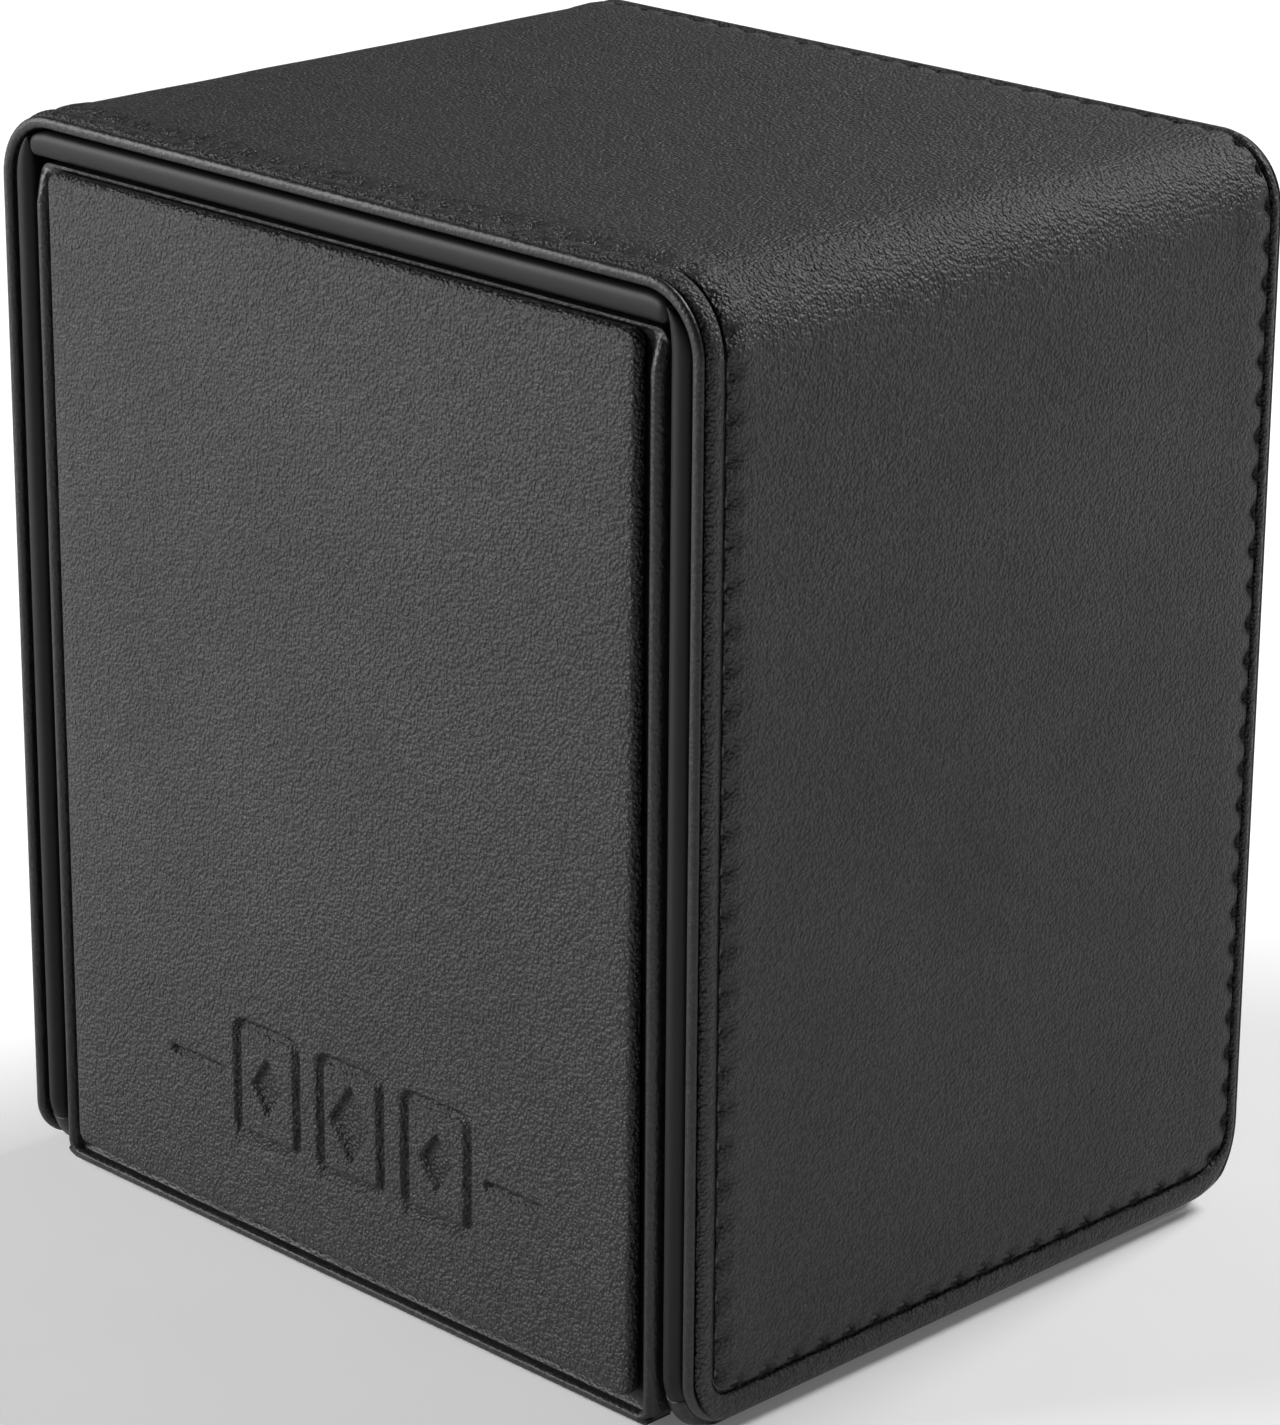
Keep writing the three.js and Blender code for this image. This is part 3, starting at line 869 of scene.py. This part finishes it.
def cover_relief(flat, inset):
    """Slight padding on the back, and flat where the box stands on it."""
    standing = 1 - smooth_step(flat[:, 1], cover_floor - 2, cover_floor + cover_bend)
    waves = 0.06 * gentle_waves(flat[:, 0], flat[:, 1], 31, 34)
    return (1 - standing) * smooth_step(inset, 0.5, 6) * (waves - 0.02)


COVER_SECTION = [
    (0.9, -COVER + 0.02), (0.35, -COVER + 0.03), (0.12, -COVER + 0.12), (0.02, -0.62), (0.0, -0.45),
    (0.05, -0.27), (0.16, -0.14), (0.34, -0.05), (0.6, -0.01), (1.2, 0.0), (2.5, 0.0),
]
cover_pattern = SheetPattern(
    (base_high[0] - base_low[0], cover_length), (1.5, 1.5, TOP_CORNER, TOP_CORNER),
    even(44), even(int(cover_length / 1.6)),
)
points, faces = shaped_sheet(cover_pattern, COVER_SECTION, round_the_back, cover_relief)
build_piece("base_and_back_leather", points, faces, grained, "box", ["base_and_back_cover"])

# %% Leather curls at the lower front corners
CURL_STEPS = 14


def curl_loops(side):
    """Leather that rolls round the lower front corner of a side wall, outside its film."""
    inner, outer = wall_low[0], wall_high[0]
    nose = (outer - inner) / 2
    corner = FRONT_LOW_CORNERS[side]
    centre_y, centre_z = wall_low[1] + corner, wall_low[2] + corner
    loops = []
    for k in range(CURL_STEPS + 1):
        angle = math.radians(30 + 60 * k / CURL_STEPS)
        reach = corner + 0.02 + 0.88 * smooth_step(k, -1.0, 9.0)
        turn = np.linspace(0, math.pi, 13)
        across = (inner + outer) / 2 + (nose - 0.02) * np.cos(turn)
        depth = reach - 0.55 * nose + 0.55 * nose * np.sin(turn)
        loop = [
            (side * x, centre_y - d * math.cos(angle), centre_z - d * math.sin(angle))
            for x, d in zip(across, depth)
        ]
        low = corner - 1.6
        for x in (inner + 0.05, outer - 0.05):
            loop.append((side * x, centre_y - low * math.cos(angle), centre_z - low * math.sin(angle)))
        loops.append(loop)
    return loops


for side, name in ((1, "right"), (-1, "left")):
    points, faces = loft(curl_loops(side))
    build_piece(f"base_leather_{name}_curl", points, faces, stretched, "box")

# %% [markdown]
# ## Linings
#
# Inside, the tray and the back of the flap are lined with a microfibre cloth glued on thin board.
# Each lining is a flat sheet with soft rolled edges. The floor lining also turns down over the
# front edge of the base board, where the flap leaves it in sight when it is open.

# %% Microfibre material


def microfibre():
    """Short dense nap: very dull, with a light bloom at grazing angles and brushed patches."""
    material, tree = new_material("microfibre_lining")
    place = add_node(tree, "ShaderNodeTexCoord").outputs["Object"]
    nap = add_node(tree, "ShaderNodeTexNoise", Vector=place, Scale=3200.0, Detail=3.0, Roughness=0.7)
    brushed = add_node(tree, "ShaderNodeTexNoise", Vector=place, Scale=55.0, Detail=4.0, Distortion=0.6)
    mixed = add_node(
        tree, "ShaderNodeMath", {"operation": "MULTIPLY_ADD"},
        _0=brushed.outputs["Fac"], _1=0.6, _2=nap.outputs["Fac"],
    )
    bump = add_node(tree, "ShaderNodeBump", Height=nap.outputs["Fac"], Strength=0.7, Distance=0.00006)
    shade = add_node(tree, "ShaderNodeValToRGB", Fac=mixed.outputs[0])
    shade.color_ramp.elements[0].position = 0.55
    shade.color_ramp.elements[0].color = colour("#161617")
    shade.color_ramp.elements[1].position = 1.1
    shade.color_ramp.elements[1].color = colour("#29292b")
    shader = add_node(
        tree, "ShaderNodeBsdfPrincipled",
        Base_Color=shade.outputs["Color"], Roughness=0.95, IOR=1.45, Sheen_Weight=0.35,
        Sheen_Roughness=0.4, Normal=bump.outputs["Normal"],
    )
    finish_material(tree, shader)
    return material


lining = microfibre()


def flat_panel(node, thin_axis, facing, radius=0.8, step=2.0):
    """Pattern, edge section and placing of a soft-edged sheet that fills a CAD node's box."""
    low, high = span(node)
    axes = [k for k in range(3) if k != thin_axis]
    size = high[axes] - low[axes]
    thickness = high[thin_axis] - low[thin_axis]
    soft = min(0.45 * thickness, 0.5)
    section = [(soft + 0.6, 0.0)]
    rise = thickness - soft
    for a in np.linspace(0, math.pi / 2, 4):
        section.append((soft * (1 - math.sin(a)), soft * (1 - math.cos(a))))
    for a in np.linspace(0, math.pi / 2, 5):
        section.append((soft * (1 - math.cos(a)), rise + soft * math.sin(a)))
    section += [(soft + 0.6, thickness)]
    pattern = SheetPattern(
        tuple(size), (radius,) * 4, even(max(4, int(size[0] / step))), even(max(4, int(size[1] / step))),
        corner_steps=2, finer=2,
    )

    def place(flat, height):
        spot = np.zeros((len(flat), 3))
        spot[:, axes] = low[axes] + flat
        spot[:, thin_axis] = low[thin_axis] + height if facing > 0 else high[thin_axis] - height
        return spot

    return pattern, section, place


LININGS = (
    ("right_wall_lining", "liner_right", 0, -1, "box"),
    ("left_wall_lining", "liner_left", 0, 1, "box"),
    ("top_wall_lining", "liner_top", 2, -1, "box"),
    ("back_lining", "liner_back", 1, -1, "box"),
    ("flap_back_lining", "flap_lining", 1, 1, "flap"),
)
for name, node, thin_axis, facing, body in LININGS:
    pattern, section, place = flat_panel(node, thin_axis, facing)
    points, faces = shaped_sheet(pattern, section, place)
    build_piece(name, points, faces, lining, body, [node])

# %% Floor lining that turns over the base board's front edge
floor_low, floor_high = span("liner_floor")
board_low, _ = span("base_board")
LINING = floor_high[2] - floor_low[2]
TURN_RADIUS = 0.5


def floor_line(lift):
    """Side view of the floor lining, from the back of the floor to below the base board's front."""
    front = board_low[1] - 0.06
    radius = TURN_RADIUS + lift
    centre = np.array([front + TURN_RADIUS, floor_low[2] - TURN_RADIUS])
    turn = np.linspace(math.pi / 2, math.pi, 9)
    bend = centre + radius * np.stack([np.cos(turn), np.sin(turn)], axis=1)
    back = np.linspace(floor_high[1], centre[0] + 0.3, 30)
    rows = [(y, floor_low[2] + lift) for y in back] + bend.tolist()
    return rows + [(front - lift, z) for z in np.linspace(centre[1] - 0.2, board_low[2] + 0.05, 6)]


def floor_lining():
    line = [(p, q) for p, q in zip(floor_line(0.02), floor_line(LINING))]
    loops = []
    for (y0, z0), (y1, z1) in line:
        left, right = floor_low[0], floor_high[0]
        loops.append([(left, y0, z0), (right, y0, z0), (right, y1, z1), (left, y1, z1)])
    return loft(loops)


points, faces = floor_lining()
floor_piece = build_piece(
    "floor_lining_with_turned_edge", points, faces, lining, "box", ["liner_floor"]
)
soften = floor_piece.modifiers.new("soft edge", "BEVEL")
soften.width = 0.12 * MM
soften.segments = 2
soften.limit_method = "ANGLE"

# %% [markdown]
# ## The flap
#
# The flap is a board wrapped in leatherette. Its front carries a lightly padded panel, set into a
# groove so that the wrapped edge of the board stands round it as a thin rim. The lower rim is also
# the hinge: the same leather runs on under the base of the box.

# %% Rim of the flap
RIM_BACK = wrap_high[1]
RIM_BOTTOM = 0.56
rim_inner_low = np.array([-38.9, 1.15])
rim_inner_high = np.array([38.9, 99.0])
RIM_SINK = 1.0


def rim_ring(share, corner_steps=8, side_steps=40):
    """Closed path round the flap at a share of the way from the rim's outside to its inside."""
    low = np.array([wrap_low[0], RIM_BOTTOM]) * (1 - share) + rim_inner_low * share
    high = np.array([wrap_high[0], wrap_high[2]]) * (1 - share) + rim_inner_high * share
    radius = max(1.3 * (1 - share) + 0.7 * share, 0.3)
    pattern = SheetPattern(
        tuple(high - low), (radius,) * 4, even(side_steps), even(side_steps), corner_steps, finer=1
    )
    return pattern.ring(0.0) + low


RIM_SECTION = [
    (0.0, RIM_BACK), (0.0, -35.4), (0.0, -36.2), (0.02, -36.75), (0.09, -37.08), (0.22, -37.33),
    (0.38, -37.46), (0.52, -37.5), (0.67, -37.45), (0.82, -37.3), (0.93, -37.06), (1.0, -36.75),
    (1.02, -36.48), (2.6, -36.47), (2.6, -36.42), (1.0, -36.42), (0.75, -36.42), (0.7, RIM_BACK),
]


def flap_rim():
    """The rim is a loft across its section, whose loops run all the way round the flap."""
    loops = []
    for share, y in RIM_SECTION:
        flat = rim_ring(share)
        sink = RIM_SINK * smooth_step(flat[:, 1], 97.2, 98.9) * (y < -36.6)
        loops.append(np.stack([flat[:, 0], np.minimum(y + sink, np.maximum(y, -36.5)), flat[:, 1]], axis=1))
    return loft(loops, joined=True)


points, faces = flap_rim()
build_piece("flap_rim_leather", points, faces, stretched, "flap", ["flap_edge_wrap"])

# %% Padded front panel with its pressed ornament
MARK_DEPTH = 0.55
MARK_STROKE = 0.42
MARK_CENTRE = (2.0, 17.0)


def dense(length, low, high, coarse, fine):
    """Shares of a side with fine steps between low and high, and coarse steps elsewhere."""
    before = np.linspace(0, low, max(2, int(low / coarse)), endpoint=False)
    inside = np.linspace(low, high, int((high - low) / fine), endpoint=False)
    after = np.linspace(high, length, max(2, int((length - high) / coarse)) + 1)
    return np.concatenate([before, inside, after]) / length


def box_distance(x, z, half_width, half_height, radius):
    """Signed distance to a rectangle with rounded corners."""
    dx = np.abs(x) - half_width + radius
    dz = np.abs(z) - half_height + radius
    outside = np.hypot(np.maximum(dx, 0), np.maximum(dz, 0))
    return outside + np.minimum(np.maximum(dx, dz), 0) - radius


def pressed(distance, soft=0.2):
    """1 inside a pressed shape and 0 outside it, with a soft shoulder."""
    return 1 - smooth_step(distance, -soft, soft)


def ornament(x, z):
    """Three card outlines in a row, with a diamond in each, between two short rules."""
    x, z = x - MARK_CENTRE[0], z - MARK_CENTRE[1]
    shapes = []
    for column, grown in ((-11.5, 0.75), (0.0, 1.0), (11.5, 0.75)):
        shapes.append(np.abs(box_distance(x - column, z, 4.1, 5.6, 1.0)) - MARK_STROKE)
        shapes.append((np.abs(x - column) * 1.4 + np.abs(z)) / 1.72 - 2.2 * grown)
    for side in (-1, 1):
        shapes.append(box_distance(x - side * 21.5, z, 3.6, MARK_STROKE, MARK_STROKE))
    return pressed(np.minimum.reduce(shapes))


PANEL_LIFT = 0.4
PANEL_STRETCH = 0.35
panel_low[2] += PANEL_LIFT
panel_high[2] += PANEL_STRETCH
panel_size = (panel_high[0] - panel_low[0], panel_high[2] - panel_low[2])
PANEL_SECTION = [
    (1.2, 0.0), (0.3, 0.02), (0.08, 0.10), (0.0, 0.30), (0.0, 0.65), (0.02, 0.86), (0.07, 1.03),
    (0.15, 1.18), (0.27, 1.30), (0.42, 1.39), (0.62, 1.45), (0.9, 1.485), (1.5, 1.5),
]


def on_panel(flat, height):
    x = panel_low[0] + flat[:, 0]
    z = panel_low[2] + flat[:, 1]
    return np.stack([x, panel_high[1] - height, z], axis=1)


def panel_relief(flat, inset):
    """Thin foam: a little fuller in the middle, with slow waves and the pressed ornament."""
    x = panel_low[0] + flat[:, 0]
    z = panel_low[2] + flat[:, 1]
    fuller = 0.10 * smooth_step(inset, 0.8, 5.0)
    folds = 0.05 * creases(x, z, (-34.7, 75), (-23, 49), 3.2, 3.6)
    waves = smooth_step(inset, 0.8, 5.0) * 0.045 * gentle_waves(x, z, 21, 36)
    return fuller + waves + folds - MARK_DEPTH * ornament(x, z)


panel_pattern = SheetPattern(
    panel_size, (1.2,) * 4,
    dense(panel_size[0], 10.5, 69.5, 1.2, 0.25), dense(panel_size[1], 7.5, 22.5, 1.2, 0.25), finer=2,
)
points, faces = shaped_sheet(panel_pattern, PANEL_SECTION, on_panel, panel_relief)
front_panel = build_piece(
    "flap_padded_panel", points, faces, grained, "flap", ["flap_front_panel"]
)

# %% [markdown]
# ## Leather hinge
#
# The hinge has no pin. The leather of the lower rim turns under the flap, crosses a short gap and
# is glued under the base. The strip is one sheet that spans the gap between the two bodies, and is
# fixed to neither of them.

# %% Hinge leather
_, hinge_high = span("hinge_strip")
HINGE_PLY = 0.5
HINGE_LINE = [
    (-36.45, 1.10), (-36.9, 1.12), (-37.25, 1.04), (-37.44, 0.9), (-37.5, 0.72), (-37.44, 0.47),
    (-37.27, 0.22), (-37.02, 0.06), (-36.7, 0.0), (-36.2, 0.0), (-35.6, 0.0), (-35.0, 0.0),
    (-34.4, 0.0), (hinge_high[1], 0.0),
]


def hinge_half_width(z, radius=1.3):
    """Half the strip's width at a height: its ends round off with the lower corners of the flap."""
    drop = min(max(RIM_BOTTOM + radius - z, 0.0), radius)
    return wrap_high[0] - radius + math.sqrt(radius**2 - drop**2)


def hinge_sheet(columns=60):
    """A strip with the hinge's side view, as thick as one ply, that narrows at its ends."""
    line = np.array(HINGE_LINE)
    along = np.gradient(line, axis=0)
    along /= np.linalg.norm(along, axis=1)[:, None]
    inward = np.stack([-along[:, 1], along[:, 0]], axis=1)
    inner = line + inward * HINGE_PLY
    loops = []
    for k in range(columns + 1):
        share = 2 * k / columns - 1
        outline = np.concatenate([line, inner[::-1]])
        loops.append([(share * hinge_half_width(z), y, z) for y, z in outline])
    return loft(loops)


points, faces = hinge_sheet()
hinge = build_piece("hinge_leather", points, faces, stretched, None, ["hinge_strip"])
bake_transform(hinge)

# %% [markdown]
# ## Hidden parts
#
# Boards, stiffeners and magnets keep their CAD shapes. They are out of sight, but each still gets
# the finish of what it is.

# %% Materials of the hidden parts


def greyboard():
    """Pressed paper pulp: warm grey with darker fibres."""
    material, tree = new_material("greyboard")
    place = add_node(tree, "ShaderNodeTexCoord").outputs["Object"]
    fibre = add_node(tree, "ShaderNodeTexNoise", Vector=place, Scale=700.0, Detail=6.0, Distortion=1.5)
    shade = add_node(tree, "ShaderNodeValToRGB", Fac=fibre.outputs["Fac"])
    shade.color_ramp.elements[0].color = colour("#6f6a62")
    shade.color_ramp.elements[1].color = colour("#9a948a")
    bump = add_node(tree, "ShaderNodeBump", Height=fibre.outputs["Fac"], Strength=0.4, Distance=0.00004)
    shader = add_node(
        tree, "ShaderNodeBsdfPrincipled",
        Base_Color=shade.outputs["Color"], Roughness=0.9, IOR=1.45, Normal=bump.outputs["Normal"],
    )
    finish_material(tree, shader)
    return material


def stiffener_plastic():
    """Thin polypropylene sheet, milky and half matt, with rolling marks along its length."""
    material, tree = new_material("polypropylene_sheet")
    place = add_node(tree, "ShaderNodeTexCoord").outputs["Object"]
    rolled = add_node(tree, "ShaderNodeTexWave", Vector=place, Scale=300.0, Distortion=2.0)
    shade = add_node(tree, "ShaderNodeValToRGB", Fac=rolled.outputs["Fac"])
    shade.color_ramp.elements[0].color = colour("#3a3a3c")
    shade.color_ramp.elements[1].color = colour("#444446")
    shader = add_node(
        tree, "ShaderNodeBsdfPrincipled", Base_Color=shade.outputs["Color"], Roughness=0.5, IOR=1.49
    )
    finish_material(tree, shader)
    return material


def plated_magnet():
    """Nickel-plated neodymium: bright, with fine tumbling scratches."""
    material, tree = new_material("nickel_plate")
    place = add_node(tree, "ShaderNodeTexCoord").outputs["Object"]
    scratches = add_node(tree, "ShaderNodeTexNoise", Vector=place, Scale=1500.0, Detail=5.0, Distortion=3.0)
    roughness = add_node(
        tree, "ShaderNodeMapRange", Value=scratches.outputs["Fac"], To_Min=0.18, To_Max=0.34
    )
    shader = add_node(
        tree, "ShaderNodeBsdfPrincipled",
        Base_Color=colour("#c9c4bc"), Metallic=1.0, Roughness=roughness.outputs["Result"],
    )
    finish_material(tree, shader)
    return material


def finish_hidden_parts():
    """Give every CAD node that is still shown the material of its kind."""
    board, plastic, nickel = greyboard(), stiffener_plastic(), plated_magnet()
    for name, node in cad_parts.items():
        if node.hide_render:
            continue
        material = nickel if "magnet" in name else plastic if "stiffener" in name else board
        node.data.materials.clear()
        node.data.materials.append(material)
        print("CAD node kept:", name, "as", material.name)


finish_hidden_parts()
